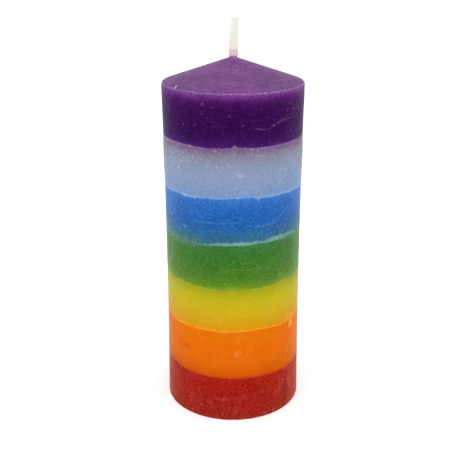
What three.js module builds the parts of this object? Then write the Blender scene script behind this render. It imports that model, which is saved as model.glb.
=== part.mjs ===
// A seven-colour pillar candle, cast point down: seven pours of wax, one on the other, round a waxed wick.
// Millimetres, +Z up. The origin is the centre of the base, on the surface where the candle stands.
import * as THREE from "three";

// The wax body, from the base up to the corner between the wall and the cone.
const BASE_RADIUS = 30;
const WALL_DRAFT = 0.2; // how much slimmer the wall is at that corner
const WAIST_DEPTH = 0.6; // how much slimmer again it is half-way up, where the wax shrank most
const FOOT_CHAMFER = 0.5; // worn bottom edge
const FOOT_WIDTH = 4.5; // flat ring inside that edge, which the candle stands on
const SHOULDER_ROUND = 1.4; // fillet between the wall and the cone
const CONE_RISE = 10.4; // from that corner to the point that the cone aims at

// Height of each pour, measured on the wall, from the base up.
const RED_HEIGHT = 20.4;
const ORANGE_HEIGHT = 22.1;
const YELLOW_HEIGHT = 19.7;
const GREEN_HEIGHT = 19.6;
const BLUE_HEIGHT = 20.0;
const PALE_BLUE_HEIGHT = 21.3;
const VIOLET_HEIGHT = 21.0;

// Each pour sank round the wick as it set, and stayed high where it clung to the mould.
const SINK_DEPTH = 3;
const SINK_POWER = 4; // the higher, the closer to the wall the sink stays flat
// The last sink, in the base, was filled by a small pour of its own.
const TOP_UP_EDGE = 0.8; // its thickness at the rim
const TOP_UP_RECESS = 0.3; // it shrank clear of the table

// The wick: three plaited cotton strands in a skin of hard wax.
const STRAND_COUNT = 3; // what the plait's formulas below are for
const STRAND_DIAMETER = 0.66;
const STRAND_CLEARANCE = 0.08; // between strands, and round the plait
const PLAIT_PITCH = 12;
const PLAIT_WIDENESS = 1.35; // half width of the plait to its half depth
const COAT_WALL = 0.3;
const COAT_TAPER = 0.12; // how much slimmer the coat is under its round tip
const COAT_CAP = 0.3; // solid wax between the ends of the strands and that tip
const WICK_CLEARANCE = 0.05; // between the coat and the pours
const WICK_RECESS = 0.5; // the wick is cut short of the table
const WICK_STUB = 16; // wick that stands out of the cone
const WICK_LEAN = 0.9; // how far the stub's tip leans to +X
const COLLAR_RISE = 0.3; // wax that climbed the wick where it leaves the cone
const COLLAR_WIDTH = 0.8;
const COLLAR_WAIST = 0.35; // share of both at the collar's middle, which makes it hollow

// Facets.
const BODY_SEGMENTS = 48;
const COAT_SEGMENTS = 20;
const SINK_SHARES = [0, 0.6, 0.85, 1]; // of the way from the wick to the rim, closer where the face falls
const FILLET_STEPS = 4;
const STUB_STEPS = 6;
const TIP_STEPS = 4;
const STRAND_SIDES = 6;
const STRAND_STEPS_PER_PITCH = 12;

// Sizes that follow from those above.
const SHOULDER_RADIUS = BASE_RADIUS - WALL_DRAFT;
const TOP_UP_RADIUS = BASE_RADIUS - FOOT_CHAMFER - FOOT_WIDTH;
const WALL_HEIGHT =
  RED_HEIGHT + ORANGE_HEIGHT + YELLOW_HEIGHT + GREEN_HEIGHT + BLUE_HEIGHT + PALE_BLUE_HEIGHT + VIOLET_HEIGHT;
const PLAIT_DEPTH = (STRAND_DIAMETER + STRAND_CLEARANCE) / closestStrands();
const PLAIT_WIDTH = PLAIT_DEPTH * PLAIT_WIDENESS;
const FACET_ALLOWANCE = 1 / Math.cos(Math.PI / COAT_SEGMENTS); // a facet's middle is nearer the axis
const COAT_INNER_RADIUS = (plaitReach() + STRAND_DIAMETER / 2 + STRAND_CLEARANCE) * FACET_ALLOWANCE;
const COAT_RADIUS = COAT_INNER_RADIUS + COAT_WALL;
const TIP_RADIUS = COAT_RADIUS - COAT_TAPER;
const BORE_RADIUS = COAT_RADIUS + WICK_CLEARANCE;
const CONE_TOP = coneHeight(BORE_RADIUS);
const WICK_TOP = CONE_TOP + WICK_STUB;
const TIP_START = WICK_TOP - TIP_RADIUS;
const STRANDS_TOP = TIP_START - COAT_CAP;

const WAX = { roughness: 0.55, metalness: 0 };
const HARD_WAX = { roughness: 0.4, metalness: 0 };
const COTTON = { roughness: 0.9, metalness: 0 };

// The wall's radius at a height: a straight taper, drawn in along a parabola.
function wallRadius(z) {
  const share = z / WALL_HEIGHT;
  return BASE_RADIUS - WALL_DRAFT * share - WAIST_DEPTH * 4 * share * (1 - share);
}

// The cone's height at a radius.
function coneHeight(radius) {
  return WALL_HEIGHT + CONE_RISE * (1 - radius / SHOULDER_RADIUS);
}

// The closest that the middles of two strands come at one height, in a plait of three with a half depth of 1.
function closestStrands() {
  const share = Math.max(0, (1 - PLAIT_WIDENESS ** 2 / 4) / 2);
  return Math.sqrt(3 * (share * PLAIT_WIDENESS ** 2 + (2 * share - 1) ** 2));
}

// The furthest that the middle of a strand gets from the wick's axis, on its way across and over at once.
function plaitReach() {
  const share = Math.min(1, (PLAIT_WIDENESS ** 2 + 4) / 8);
  return Math.sqrt(share * (PLAIT_WIDTH ** 2 + 4 * PLAIT_DEPTH ** 2) - (2 * PLAIT_DEPTH * share) ** 2);
}

// A profile of [radius, height] points, closed on itself, turned round the Z axis.
function turned(profile, segments) {
  const points = profile.map(([radius, height]) => new THREE.Vector2(radius, height));
  return new THREE.LatheGeometry(points, segments).rotateX(Math.PI / 2);
}

// The face between two pours, from the wick's bore out: level round the wick, then falling to the rim.
function sinkFace(rimRadius, rimHeight) {
  return SINK_SHARES.map((share) => [
    BORE_RADIUS + (rimRadius - BORE_RADIUS) * share,
    rimHeight + SINK_DEPTH * (1 - share ** SINK_POWER),
  ]);
}

// The same face where two pours meet on the wall.
function faceAt(height) {
  return sinkFace(wallRadius(height), height);
}

// The sink in the base, which the top-up fills.
function topUpFace() {
  return sinkFace(TOP_UP_RADIUS, TOP_UP_EDGE + TOP_UP_RECESS);
}

// The point of the wall half-way between two heights.
function wallMiddle(low, high) {
  const height = (low + high) / 2;
  return [wallRadius(height), height];
}

// A pour between two others.
function middlePour(low, high) {
  const bottom = faceAt(low);
  const top = faceAt(high).reverse();
  return [...bottom, wallMiddle(low, high), ...top, bottom[0]];
}

// The last pour, which the candle stands on: a flat foot ring round the top-up, with a worn edge.
function basePour(high) {
  const sink = topUpFace();
  const foot = [
    [TOP_UP_RADIUS, 0],
    [BASE_RADIUS - FOOT_CHAMFER, 0],
    [wallRadius(FOOT_CHAMFER), FOOT_CHAMFER],
  ];
  const top = faceAt(high).reverse();
  return [...sink, ...foot, wallMiddle(FOOT_CHAMFER, high), ...top, sink[0]];
}

// The small pour that levels the base.
function topUp() {
  const bottom = [
    [BORE_RADIUS, TOP_UP_RECESS],
    [TOP_UP_RADIUS, TOP_UP_RECESS],
  ];
  return [...bottom, ...topUpFace().reverse(), bottom[0]];
}

// The fillet between the wall and the cone, from the wall up.
function shoulder() {
  const turn = Math.PI / 2 - Math.atan2(CONE_RISE, SHOULDER_RADIUS);
  const start = WALL_HEIGHT - SHOULDER_ROUND * Math.tan(turn / 2);
  const points = [];
  for (let i = 0; i <= FILLET_STEPS; i++) {
    const angle = (turn * i) / FILLET_STEPS;
    const radius = SHOULDER_RADIUS - SHOULDER_ROUND * (1 - Math.cos(angle));
    points.push([radius, start + SHOULDER_ROUND * Math.sin(angle)]);
  }
  return points;
}

// The wax that climbed the wick, from the cone up.
function collar() {
  const foot = BORE_RADIUS + COLLAR_WIDTH;
  const waist = BORE_RADIUS + COLLAR_WIDTH * COLLAR_WAIST;
  return [
    [foot, coneHeight(foot)],
    [waist, coneHeight(waist) + COLLAR_RISE * COLLAR_WAIST],
    [BORE_RADIUS, CONE_TOP + COLLAR_RISE],
  ];
}

// The first pour, in the mould's point: a band of wall, the shoulder, the cone and the collar.
function tipPour(low) {
  const bottom = faceAt(low);
  const round = shoulder();
  return [...bottom, wallMiddle(low, round[0][1]), ...round, ...collar(), bottom[0]];
}

// The wick stands straight in the wax and curves to +X above the cone.
function lean(geometry) {
  const position = geometry.getAttribute("position");
  for (let i = 0; i < position.count; i++) {
    const share = Math.max(0, (position.getZ(i) - CONE_TOP) / WICK_STUB);
    position.setX(i, position.getX(i) + WICK_LEAN * share ** 2);
  }
  return geometry;
}

// The middle of one strand of a flat plait: it goes over and under twice for each swing across.
class StrandPath extends THREE.Curve {
  constructor(phase, low, high) {
    super();
    Object.assign(this, { phase, low, high });
  }
  getPoint(t, target = new THREE.Vector3()) {
    const z = this.low + (this.high - this.low) * t;
    const swing = (2 * Math.PI * z) / PLAIT_PITCH + this.phase;
    return target.set(PLAIT_WIDTH * Math.sin(swing), PLAIT_DEPTH * Math.sin(2 * swing), z);
  }
  // Steps are even in height, so that the strands pass each other at the same steps.
  getUtoTmapping(u) {
    return u;
  }
}

// A strand's ends slant with its path, so they stay half a diameter inside the coat's length.
function strand(phase) {
  const section = new THREE.Shape();
  for (let i = 0; i < STRAND_SIDES; i++) {
    const angle = (2 * Math.PI * i) / STRAND_SIDES;
    const corner = [(STRAND_DIAMETER / 2) * Math.cos(angle), (STRAND_DIAMETER / 2) * Math.sin(angle)];
    if (i === 0) section.moveTo(...corner);
    else section.lineTo(...corner);
  }
  const low = WICK_RECESS + STRAND_DIAMETER / 2;
  const high = STRANDS_TOP - STRAND_DIAMETER / 2;
  const steps = Math.round(((high - low) / PLAIT_PITCH) * STRAND_STEPS_PER_PITCH);
  const extrudePath = new StrandPath(phase, low, high);
  return lean(new THREE.ExtrudeGeometry(section, { steps, bevelEnabled: false, extrudePath }));
}

// The hard wax round the plait: a sleeve, open where it was cut at the base, that narrows to a round tip.
function wickCoat() {
  const inside = [[0, STRANDS_TOP]];
  const outside = [];
  for (let i = 0; i <= STUB_STEPS; i++) {
    const share = i / STUB_STEPS;
    inside.push([COAT_INNER_RADIUS, STRANDS_TOP + (CONE_TOP - STRANDS_TOP) * share]);
    outside.push([COAT_RADIUS - COAT_TAPER * share, CONE_TOP + (TIP_START - CONE_TOP) * share]);
  }
  const cutEnd = [
    [COAT_INNER_RADIUS, WICK_RECESS],
    [COAT_RADIUS, WICK_RECESS],
  ];
  const tip = [];
  for (let i = 1; i < TIP_STEPS; i++) {
    const angle = (Math.PI / 2) * (i / TIP_STEPS);
    tip.push([TIP_RADIUS * Math.cos(angle), TIP_START + TIP_RADIUS * Math.sin(angle)]);
  }
  return lean(turned([...inside, ...cutEnd, ...outside, ...tip, [0, WICK_TOP]], COAT_SEGMENTS));
}

const candle = new THREE.Group();

function add(name, color, finish, geometry) {
  const mesh = new THREE.Mesh(geometry, new THREE.MeshStandardMaterial({ color, ...finish }));
  mesh.name = name;
  candle.add(mesh);
}

add("base_top_up", "#9e2a22", WAX, turned(topUp(), BODY_SEGMENTS));
add("red_base_layer", "#a1221a", WAX, turned(basePour(RED_HEIGHT), BODY_SEGMENTS));

const MIDDLE_POURS = [
  ["orange_layer", "#ea6d0c", ORANGE_HEIGHT],
  ["yellow_layer", "#c8b424", YELLOW_HEIGHT],
  ["green_layer", "#3f772e", GREEN_HEIGHT],
  ["blue_layer", "#2a66b5", BLUE_HEIGHT],
  ["pale_blue_layer", "#8d9dbd", PALE_BLUE_HEIGHT],
];
let level = RED_HEIGHT;
for (const [name, color, height] of MIDDLE_POURS) {
  add(name, color, WAX, turned(middlePour(level, level + height), BODY_SEGMENTS));
  level += height;
}
add("violet_tip_layer", "#4b1a66", WAX, turned(tipPour(level), BODY_SEGMENTS));

add("wick_wax_coat", "#f3efe0", HARD_WAX, wickCoat());

// Each strand of the plait is a third of a pitch ahead of the one before it.
for (let place = 1; place <= STRAND_COUNT; place++) {
  add(`wick_strand_${place}`, "#efe9d8", COTTON, strand((2 * Math.PI * place) / STRAND_COUNT));
}

export default candle;
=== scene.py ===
"""The looks of a seven-colour pillar candle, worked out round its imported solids.

Sizes in this file are millimetres and become metres where a mesh is made. A turn is measured round the
candle's axis from the front and grows to the right: it is in degrees in the tables and in radians in the
formulas. A rise is measured on the wall, from the surface where the candle stands.
"""
import functools
import math

import bpy
import numpy as np
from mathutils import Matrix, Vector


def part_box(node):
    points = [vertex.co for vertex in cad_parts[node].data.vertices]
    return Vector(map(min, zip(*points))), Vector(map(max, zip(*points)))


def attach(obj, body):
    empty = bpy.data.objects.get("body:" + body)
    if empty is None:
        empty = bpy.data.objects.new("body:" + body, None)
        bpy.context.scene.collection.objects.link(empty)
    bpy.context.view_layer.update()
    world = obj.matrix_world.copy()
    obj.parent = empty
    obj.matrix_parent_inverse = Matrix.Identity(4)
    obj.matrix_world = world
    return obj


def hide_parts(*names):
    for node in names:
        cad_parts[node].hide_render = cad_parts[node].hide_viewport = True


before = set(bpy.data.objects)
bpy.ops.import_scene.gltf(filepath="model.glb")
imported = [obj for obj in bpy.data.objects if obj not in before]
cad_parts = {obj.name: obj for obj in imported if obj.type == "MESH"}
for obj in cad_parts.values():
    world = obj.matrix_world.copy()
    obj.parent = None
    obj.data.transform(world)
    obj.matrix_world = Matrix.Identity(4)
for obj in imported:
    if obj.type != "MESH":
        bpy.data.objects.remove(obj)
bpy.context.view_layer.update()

MM = 0.001


def lowest(node):
    """Height of a solid's lowest point."""
    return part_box(node)[0].z / MM


def highest(node):
    """Height of a solid's highest point."""
    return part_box(node)[1].z / MM


def half_depth(node):
    """Half of a solid's depth, which is the radius of a round one."""
    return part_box(node)[1].y / MM


# The wax body's form, the same as its solids have.
BASE_RADIUS = 30.0
WALL_DRAFT = 0.2
WAIST_DEPTH = 0.6
FOOT_ROUND = 0.5
SHOULDER_ROUND = 1.4
CONE_RISE = 10.4
VIOLET_BAND = 21.0
SINK_POWER = 4
WALL_TOP = lowest("violet_tip_layer") + VIOLET_BAND
SHOULDER_RADIUS = BASE_RADIUS - WALL_DRAFT
CONE_SLOPE = math.atan2(CONE_RISE, SHOULDER_RADIUS)
SHOULDER_TURN = math.pi / 2 - CONE_SLOPE
SHOULDER_START = WALL_TOP - SHOULDER_ROUND * math.tan(SHOULDER_TURN / 2)
SINK_DEPTH = highest("red_base_layer") - lowest("orange_layer")
TOP_UP_RADIUS = half_depth("base_top_up")
TOP_UP_RECESS = lowest("base_top_up")
TOP_UP_RIM = highest("base_top_up") - SINK_DEPTH

# The wick. Its stub is thicker than its solid, more so at its foot, which also stands out to the right.
WICK_RADIUS = half_depth("wick_wax_coat")
WICK_CLEARANCE = 0.05
WICK_SKIN = 0.3
WICK_TAPER = 0.12
WICK_LEAN = 0.9
WICK_FOOT = lowest("wick_wax_coat")
WICK_TOP = highest("wick_wax_coat")
WICK_SWELL = 0.34
WICK_SWELL_AT_TIP = 0.16
WICK_BULGE = 0.14
# Length of the tip that is painted darker, as painted shade on the wick's top.
WICK_SHADED_TIP = 1.6
WICK_STAIN = 3.2
PLAIT_STITCH = 2.0
PLAIT_RELIEF = 0.022
STRAND_HEADROOM = 0.3
STRANDS_TOP = highest("wick_strand_1") + STRAND_HEADROOM
BORE_RADIUS = WICK_RADIUS + WICK_CLEARANCE
COLLAR_TOP = highest("violet_tip_layer")
COLLAR_WIDTH = 0.8

# Grids: points round the candle, and the way from one ring to the next.
COLUMNS = 720
WALL_STEP = 0.28
CONE_STEP = 0.75
WICK_COLUMNS = 72
WICK_STEP = 0.2
TURN = np.linspace(0, 2 * np.pi, COLUMNS, endpoint=False)
FLANK = np.abs(np.sin(TURN))  # 0 at the front and the back, 1 at both sides
FACE_SHARES = np.array([0.0, 0.5, 0.75, 0.9, 0.97])
EDGE_STEPS = np.array([0.0, 0.07, 0.15, 0.24, 0.36])
SHARP_ANGLE = math.radians(38)
WAVES = 28
SPECK_SIZES = (0.16, 0.36)
FAINTEST_SPECK = 0.25


# Forms

def rings(values, turn=TURN):
    """Rings of equal numbers, one ring for each value."""
    return values[:, None] + 0 * turn


def wall_radius(rise):
    """Radius of the wall: a straight taper from foot to corner, drawn in along a parabola between them."""
    share = rise / WALL_TOP
    return BASE_RADIUS - WALL_DRAFT * share - WAIST_DEPTH * 4 * share * (1 - share)


def cone_height(radius):
    """Height of the cone: it falls in a straight line from the axis to the corner with the wall."""
    return WALL_TOP + CONE_RISE * (1 - radius / SHOULDER_RADIUS)


CONE_TOP = cone_height(BORE_RADIUS)


def smooth(value, start, end):
    """0 up to the start, 1 from the end on, and a smooth S between them."""
    share = np.clip((value - start) / (end - start), 0, 1)
    return share * share * (3 - 2 * share)


def bell(distance):
    """1 at nought, falling off to both sides as e to the power of minus the distance squared."""
    return np.exp(-(distance**2))


def off_turn(at):
    """Degrees from a turn to each point round the candle, the shorter way round."""
    return np.degrees(np.angle(np.exp(1j * (TURN - math.radians(at)))))


def along_wall(at):
    """Distance along the wall from a turn to each point round the candle."""
    return BASE_RADIUS * np.radians(off_turn(at))


def waver(seed, size, slow, fast):
    """Sum of sines of the turn, each with a whole number of waves round the candle, drawn between slow and
    fast. The slower ones are larger, and the sum is scaled so that its usual distance from nought is the
    size."""
    draw = np.random.default_rng(seed)
    waves = draw.integers(slow, fast + 1, WAVES)
    weight = waves**-0.5
    phase = draw.uniform(0, 2 * np.pi, WAVES)
    total = (weight[:, None] * np.sin(waves[:, None] * TURN + phase[:, None])).sum(axis=0)
    return size * total / math.sqrt((weight**2).sum() / 2)


def swell(rise, seed, size, turn=TURN):
    """Slow unevenness of a cast wall: a few products of a sine of the turn and a sine of the rise."""
    draw = np.random.default_rng(seed)
    total = np.zeros(rise.shape)
    for waves, length in zip(draw.integers(2, 14, 8), draw.uniform(9, 40, 8)):
        round_phase, up_phase = draw.uniform(0, 2 * np.pi, 2)
        total += np.sin(waves * turn + round_phase) * np.sin(2 * np.pi * rise / length + up_phase)
    return size * total / 2


def strongest(marks):
    """The largest of the marks at each point."""
    return functools.reduce(np.maximum, marks)


def spot(rise, at, up, wide, tall=None, power=2.0):
    """1 in the middle of a spot and falling off as a bell with the distance in half widths and half
    heights."""
    off = (np.abs(along_wall(at)) / wide) ** power + (np.abs(rise - up) / (tall or wide)) ** power
    return np.exp(-off)


def specks(rise, table):
    """The strongest of a table's round spots: a row is the turn, the rise and the half width."""
    return strongest(spot(rise, *row) for row in table)


def patches(rise, table):
    """The strongest of a table's spots: a row is the turn, rise, half width, half height and strength."""
    return strongest(strength * spot(rise, *place) for *place, strength in table)


def stroke(rise, width, path):
    """1 on a bent line through the path's points and falling off as a bell with the distance from it in
    widths."""
    nearest = np.full(rise.shape, np.inf)
    for (start, low), (end, high) in zip(path[:-1], path[1:]):
        run = BASE_RADIUS * math.radians(end - start)
        climb = high - low
        ahead = along_wall(start)
        above = rise - low
        share = np.clip((ahead * run + above * climb) / (run**2 + climb**2), 0, 1)
        nearest = np.minimum(nearest, np.hypot(ahead - share * run, above - share * climb))
    return bell(nearest / width)


def strokes(rise, table):
    """The strongest of a table's strokes: a row is the strength, the width and the path."""
    return strongest(strength * stroke(rise, width, path) for strength, width, path in table)


def scatter(rise, seed, number, low, high, start=-180.0, end=180.0):
    """Drawn crumbs and specks between two rises and two turns: the strongest of their spots at each
    point."""
    least = (start, low, SPECK_SIZES[0], FAINTEST_SPECK)
    most = (end, high, SPECK_SIZES[1], 1.0)
    drawn = np.random.default_rng(seed).uniform(least, most, (number, 4))
    return strongest(strength * spot(rise, at, up, size) for at, up, size, strength in drawn)


def scatters(rise, table):
    """The strongest of a table's scatters: a row holds the numbers of one."""
    return strongest(scatter(rise, *row) for row in table)


# Seams between the pours, by the node above each: how far it lies over the solid's edge, how far its line
# tilts to the right, its slow waver and its teeth, and where it dips or rises: turn, half width in degrees
# and height.
SEAMS = {
    "orange_layer": (0.35, -0.25, 0.10, 0.085, [(-52, 12, 0.3), (48, 12, -0.35)]),
    "yellow_layer": (0.2, 0.05, 0.10, 0.06, [(-50, 14, -0.3), (20, 10, 0.35), (50, 14, -0.35)]),
    "green_layer": (0.05, -0.17, 0.08, 0.03, [(-23, 14, -0.25), (2, 12, 0.3), (48, 14, 0.4)]),
    "blue_layer": (0.15, 0.31, 0.12, 0.05, [(-23, 12, -0.25), (48, 12, 0.25)]),
    "pale_blue_layer": (
        0.4, 0.36, 0.10, 0.07, [(-50, 18, 0.3), (-25, 10, 0.2), (12, 26, 0.55), (20.5, 2.6, -0.6)],
    ),
    "violet_tip_layer": (0.0, 0.12, 0.05, 0.03, [(-20, 13, -0.6), (24, 13, -0.4), (52, 14, -0.2)]),
}
FIRST_SEAM_SEED = 11
NOTCH_AT = 1.3  # a peak of pale wax in the violet's lower edge
NOTCH_RISE = 1.2
NOTCH_WIDTH = 0.8
NOTCH_POWER = 1.4
SEAM_DEPTH = 0.07
SEAM_REACH = 0.22


def seam(node, seed):
    """Height of a seam at each turn: the solid's edge and the seam's lift, plus a tilt as the sine of the
    turn, plus its two wavers, plus its bends as bells, plus the notch as a narrow bell."""
    lift, tilt, slow, teeth, bends = SEAMS[node]
    line = lowest(node) + lift + tilt * np.sin(TURN)
    line += waver(seed, slow, 3, 26) + waver(seed + 100, teeth, 70, 300)
    for at, half_width, height in bends:
        line += height * bell(off_turn(at) / half_width)
    if node == "violet_tip_layer":
        line += NOTCH_RISE * np.exp(-np.abs(along_wall(NOTCH_AT) / NOTCH_WIDTH) ** NOTCH_POWER)
    return line


EDGES = {node: seam(node, seed) for seed, node in enumerate(SEAMS, FIRST_SEAM_SEED)}


def face_between(rim_radius, rim_rise, level, shares):
    """The face where two pours meet, as rings at the given shares of the way from the wick to the rim: its
    height is the rim's plus the sink's depth times one minus the share to the sink's power, and towards the
    wick the rim's unevenness dies away."""
    shares = shares[:, None]
    radius = BORE_RADIUS + (rim_radius - BORE_RADIUS) * shares
    rise = level + (rim_rise - level) * shares + SINK_DEPTH * (1 - shares**SINK_POWER)
    return radius, rise


SINK = face_between(TOP_UP_RADIUS + 0 * TURN, TOP_UP_RIM + 0 * TURN, TOP_UP_RIM, np.append(FACE_SHARES, 1.0))


def wall_rings(low, high):
    """Rises of the wall's rings between two edges: close together beside the edges and evenly spaced
    between."""
    height = high - low
    middle = np.linspace(EDGE_STEPS[-1], height.mean() - EDGE_STEPS[-1], int(height.mean() / WALL_STEP))
    steps = np.concatenate((EDGE_STEPS[:-1], middle, height.mean() - EDGE_STEPS[-2::-1]))
    return low + height * (steps / steps[-1])[:, None]


def groove(distance):
    """Depth of the shallow groove at a seam, falling off as a bell with the distance from the seam."""
    return SEAM_DEPTH * bell(distance / SEAM_REACH)


# Meshes

def round_axis(radius, rise, turn=TURN):
    """Points round the axis: x is the radius times the sine of the turn, y is minus the radius times its
    cosine, and z is the rise."""
    return np.stack((radius * np.sin(turn), -radius * np.cos(turn), rise), -1)


def grid_piece(name, points, poles=()):
    """A piece from rings of points: each face joins two neighbours of a ring to the same two of the next.
    Without poles the last ring joins the first. A fan of triangles closes the last ring to the last pole,
    and the first ring to the pole before it, if there is one."""
    rows, columns = points.shape[:2]
    count = rows * columns
    last = count - columns
    here = np.arange(columns)
    beside = (here + 1) % columns
    row = columns * np.arange(rows - 1 if poles else rows)[:, None]
    above = (row + columns) % count
    quads = np.stack((row + here, row + beside, above + beside, above + here), -1)
    ends = [(beside, here), (last + here, last + beside)][-len(poles):]
    fans = [np.stack((0 * here + count + i, *end), -1).ravel() for i, end in zip(range(len(poles)), ends)]
    corners = np.concatenate((quads.ravel(), *fans))
    sizes = np.repeat((4, 3), (quads.size // 4, columns * len(poles)))
    places = MM * np.concatenate((points.reshape(-1, 3), np.reshape(poles, (-1, 3))))
    mesh = bpy.data.meshes.new(name)
    mesh.vertices.add(len(places))
    mesh.vertices.foreach_set("co", places.astype(np.float32).ravel())
    mesh.loops.add(len(corners))
    mesh.loops.foreach_set("vertex_index", corners.astype(np.int32))
    mesh.polygons.add(len(sizes))
    mesh.polygons.foreach_set("loop_start", (np.cumsum(sizes) - sizes).astype(np.int32))
    mesh.update(calc_edges=True)
    mesh.validate()
    mesh.shade_smooth()
    mesh.set_sharp_from_angle(angle=SHARP_ANGLE)
    piece = bpy.data.objects.new(name, mesh)
    bpy.context.scene.collection.objects.link(piece)
    return piece


def set_mark(piece, name, values):
    """Writes one number for each point of the piece."""
    numbers = np.ascontiguousarray(values, np.float32).ravel()
    piece.data.attributes.new(name, "FLOAT", "POINT").data.foreach_set("value", numbers)


def ring_piece(name, faces, marks):
    """A piece turned round the axis and closed on itself, from the radii and rises of its faces one after
    the other. Marks are numbers for each of its points."""
    radius, rise = (np.concatenate(parts) for parts in zip(*faces))
    piece = grid_piece(name, round_axis(radius, rise))
    for key, values in marks.items():
        set_mark(piece, key, np.broadcast_to(values, radius.shape))
    return piece


def spread(marks, before, after):
    """The marks of a wall, carried on from its first and last rings over the rings before and after it."""
    return {key: np.pad(values, ((before, after), (0, 0)), "edge") for key, values in marks.items()}


def settle(piece, node, material):
    """Gives a piece its material, hides the solid that it stands for, if any, and hangs it under the root
    body.
    """
    piece.data.materials.append(material)
    if node:
        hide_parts(node)
    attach(piece, "root")


# Shading

def linear(red, green, blue):
    """A colour written in screen values from 0 to 255, as the linear colour that a shader takes."""
    screen = np.array((red, green, blue)) / 255
    values = np.where(screen <= 0.04045, screen / 12.92, ((screen + 0.055) / 1.055) ** 2.4)
    return (*values.tolist(), 1.0)


class Shading:
    """A tree of shader nodes, with a short way to add each kind. A colour of three numbers is in screen
    values."""

    def __init__(self, tree):
        self.tree = tree

    def fill(self, node, inputs):
        """Puts links or plain values into a node's inputs."""
        for key, value in inputs.items():
            socket = node.inputs[key]
            if isinstance(value, bpy.types.NodeSocket):
                self.tree.links.new(value, socket)
            elif socket.type == "RGBA" and len(value) == 3:
                socket.default_value = linear(*value)
            else:
                socket.default_value = value

    def add(self, kind, inputs=None, **settings):
        """A node of that kind, with its settings and its inputs."""
        made = self.tree.nodes.new("ShaderNode" + kind)
        for key, value in settings.items():
            setattr(made, key, value)
        self.fill(made, inputs or {})
        return made

    def group(self, tree, **inputs):
        """What a node group gives for its own inputs."""
        return self.add("Group", inputs, node_tree=tree).outputs

    def math(self, operation, *values, clamp=False):
        """One step of arithmetic."""
        return self.add("Math", dict(enumerate(values)), operation=operation, use_clamp=clamp).outputs[0]

    def times(self, first, second, clamp=False):
        """The product of two values."""
        return self.math("MULTIPLY", first, second, clamp=clamp)

    def plus(self, first, second, clamp=False):
        """The sum of two values."""
        return self.math("ADD", first, second, clamp=clamp)

    def scaled(self, value, factor, start):
        """The value times the factor, on top of the start."""
        return self.math("MULTIPLY_ADD", value, factor, start)

    def between(self, value, start, end):
        """0 at the start, 1 at the end, smooth between them."""
        inputs = {"Value": value, "From Min": start, "From Max": end}
        return self.add("MapRange", inputs, interpolation_type="SMOOTHSTEP").outputs[0]

    def mixed(self, share, under, over, blend="MIX"):
        """The under colour covered by a share of the over colour."""
        return self.add("Mix", {0: share, 6: under, 7: over}, data_type="RGBA", blend_type=blend).outputs[2]

    def noise(self, place, scale, detail=3.0, roughness=0.55):
        """Cloudy noise: the scale is the number of clouds in a metre."""
        inputs = {"Vector": place, "Scale": scale, "Detail": detail, "Roughness": roughness}
        return self.add("TexNoise", inputs).outputs["Fac"]

    def stretched(self, place, along):
        """The place with its height made smaller, so that a pattern on it is drawn out upwards."""
        return self.add("VectorMath", {0: place, 1: (1.0, 1.0, along)}, operation="MULTIPLY").outputs[0]

    def mark(self, name):
        """A number that the mesh carries at its points."""
        return self.add("Attribute", attribute_name=name).outputs["Fac"]


def new_group(name, inputs, outputs):
    """An empty node group with named sockets: its shading, what it is given, and the node for what it
    gives."""
    tree = bpy.data.node_groups.new(name, "ShaderNodeTree")
    for direction, sockets in (("INPUT", inputs), ("OUTPUT", outputs)):
        for key, kind in sockets.items():
            tree.interface.new_socket(name=key, in_out=direction, socket_type="NodeSocket" + kind)
    return Shading(tree), tree.nodes.new("NodeGroupInput").outputs, tree.nodes.new("NodeGroupOutput")


def make_wax_skin():
    """Cast wax: its colour is mottled by slow clouds and a fine grain, and covered in part by a pale bloom
    and by painted sheen, which lie in patches and in streaks drawn out upwards. The height is the same grain,
    clouds and streaks."""
    numbers = dict.fromkeys(("Frost", "Streaks", "Speckle", "Mottle"), "Float")
    inputs = {"Place": "Vector", "Wax": "Color", "Bloom": "Color", **numbers}
    look, given, out = new_group("wax_skin", inputs, {"Colour": "Color", "Height": "Float"})
    place = given["Place"]
    clouds = look.noise(place, 130)
    grain = look.noise(place, 1150, 3, 0.75)
    fine_streaks = look.between(look.noise(look.stretched(place, 0.07), 1000, 3, 0.6), 0.5, 0.68)
    wide_streaks = look.between(look.noise(look.stretched(place, 0.12), 300, 3, 0.6), 0.48, 0.68)
    streaks = look.times(look.plus(fine_streaks, wide_streaks), given["Streaks"])
    grains = look.between(grain, 0.44, 0.68)
    loose = look.plus(look.times(look.between(clouds, 0.36, 0.66), 0.6), look.plus(streaks, 0.25))
    frost_and_painted_sheen_share = look.times(look.times(loose, look.scaled(grains, 2.4, 0.15)), given["Frost"])
    bloom_and_painted_sheen_share = look.plus(frost_and_painted_sheen_share, look.times(grains, given["Speckle"]), clamp=True)
    unevenness = look.plus(look.times(grain, 2.4), look.times(clouds, 0.8))
    lightness = look.math("MULTIPLY_ADD", look.math("SUBTRACT", unevenness, 1.6), given["Mottle"], 1.0)
    grey = look.add("CombineColor", dict.fromkeys(range(3), lightness)).outputs[0]
    mottled = look.mixed(1.0, given["Wax"], grey, "MULTIPLY")
    height = look.plus(look.plus(look.times(grain, 0.45), look.times(clouds, 0.8)), look.times(streaks, 0.25))
    look.fill(out, {"Colour": look.mixed(bloom_and_painted_sheen_share, mottled, given["Bloom"]), "Height": height})
    return look.tree


def make_wax_specks():
    """Specks: round dots at the middles of scattered cells, kept only in a share of the cells."""
    inputs = {"Place": "Vector", "Scale": "Float", "Size": "Float", "Kept": "Float"}
    look, given, out = new_group("wax_specks", inputs, {"Mask": "Float"})
    cell_inputs = {"Vector": given["Place"], "Scale": given["Scale"], "Randomness": 1.0}
    cells = look.add("TexVoronoi", cell_inputs).outputs
    drawn = look.add("SeparateColor", {0: cells["Color"]}).outputs[0]
    dots = look.between(cells["Distance"], given["Size"], look.times(given["Size"], 0.35))
    look.fill(out, {"Mask": look.times(dots, look.math("LESS_THAN", drawn, given["Kept"]))})
    return look.tree


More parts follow.
